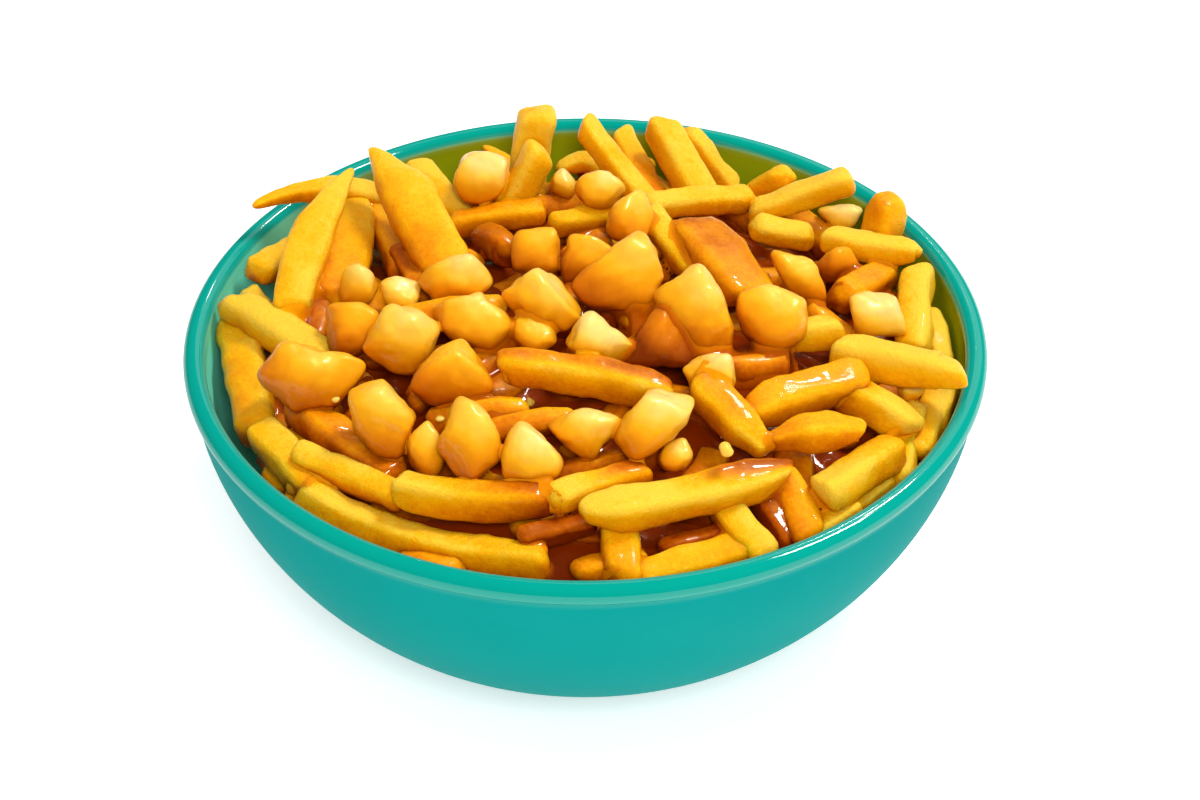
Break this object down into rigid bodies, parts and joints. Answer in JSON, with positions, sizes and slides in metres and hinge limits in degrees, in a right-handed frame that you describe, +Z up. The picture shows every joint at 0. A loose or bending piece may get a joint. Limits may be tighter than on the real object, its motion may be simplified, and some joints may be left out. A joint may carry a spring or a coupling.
{
  "type": "dish of poutine",
  "caption": "Glazed turquoise bowl heaped with golden fries, cheese curds and glossy brown gravy.",
  "frame": {"origin": "middle of the bowl's foot, on the surface that it stands on", "axes": "+Z up along the bowl's axis; -Y toward the side that the picture shows; +X to its right"},
  "size_m": [0.19, 0.19, 0.0961],
  "materials": {
    "turquoise_glaze": "smooth glossy glaze",
    "fry": "golden fried potato, paler on its cut edges, browned where gravy coats it",
    "gravy": "glossy translucent brown sauce",
    "curd": "smooth waxy cheese under a thin film of sauce"
  },
  "bodies": {
    "root": {"bowl": "turquoise_glaze", "fries_heap": "fry", "gravy": "gravy", "curd_01": "curd", "curd_02": "curd", "curd_03": "curd", "curd_04": "curd", "curd_05": "curd", "curd_06": "curd", "curd_07": "curd", "curd_08": "curd", "curd_09": "curd", "curd_10": "curd", "curd_11": "curd", "curd_12": "curd", "curd_13": "curd", "curd_14": "curd", "curd_15": "curd", "curd_16": "curd", "curd_17": "curd", "curd_18": "curd", "curd_19": "curd", "curd_20": "curd", "curd_21": "curd", "curd_22": "curd", "curd_23": "curd", "curd_24": "curd", "curd_25": "curd", "curd_26": "curd", "curd_27": "curd", "curd_28": "curd", "curd_29": "curd", "curd_30": "curd", "curd_31": "curd", "curd_32": "curd", "curd_33": "curd", "curd_34": "curd"}
  },
  "joints": []
}
